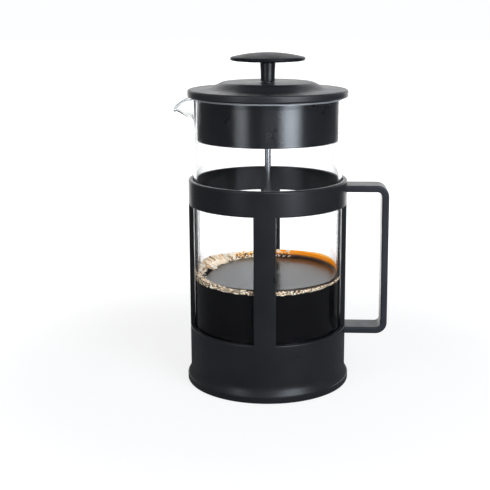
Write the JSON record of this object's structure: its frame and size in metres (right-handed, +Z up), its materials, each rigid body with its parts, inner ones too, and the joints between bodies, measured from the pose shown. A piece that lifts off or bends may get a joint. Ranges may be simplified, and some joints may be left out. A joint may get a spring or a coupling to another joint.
{
  "type": "french press",
  "caption": "Glass french press in a moulded frame with strip handle, lift-off glass beaker with pouring spout, turning lid, and a knob and rod that slide a sprung mesh filter.",
  "frame": {"origin": "centre of the foot, on the surface it stands on", "axes": "+Z up along the plunger rod, +X towards the handle, -X towards the pouring spout"},
  "size_m": [0.139, 0.1072, 0.2152],
  "materials": {
    "frame_plastic": "satin black moulding",
    "matte_black": "matte black moulding",
    "gloss_black": "polished black moulding",
    "guide_plastic": "smooth black bearing plastic",
    "glass": "clear borosilicate",
    "steel": "bright stainless",
    "brass": "machined",
    "silicone": "matte black silicone"
  },
  "bodies": {
    "frame": {"frame_shell": "frame_plastic", "handle": "frame_plastic", "handle_screws": "steel", "beaker_cushion": "silicone"},
    "glass_beaker": {"beaker": "glass"},
    "sleeve": {"lid_sleeve": "gloss_black"},
    "lid": {"lid_cap": "matte_black", "rod_guide": "guide_plastic", "guide_clip": "steel"},
    "plunger": {"knob_top": "matte_black", "knob_stem": "gloss_black", "knob_insert": "brass", "plunger_rod": "steel", "rod_collar": "steel", "clamp_washer": "steel", "spring_plate": "steel", "edge_spring": "steel", "filter_mesh": "steel", "support_plate": "steel", "hub_nut": "steel"}
  },
  "joints": [
    {"name": "beaker_lift", "type": "slide", "parent": "frame", "child": "glass_beaker", "axis": [0, 0, 1], "range_m": [0, 0.135]},
    {"name": "lid_lift", "type": "slide", "parent": "glass_beaker", "child": "sleeve", "axis": [0, 0, 1], "range_m": [0, 0.18]},
    {"name": "lid_turn", "type": "hinge", "parent": "sleeve", "child": "lid", "pos_m": [0, 0, 0.19], "axis": [0, 0, 1], "continuous": true},
    {"name": "plunger_slide", "type": "slide", "parent": "lid", "child": "plunger", "axis": [0, 0, 1], "range_m": [0, 0.136]}
  ]
}
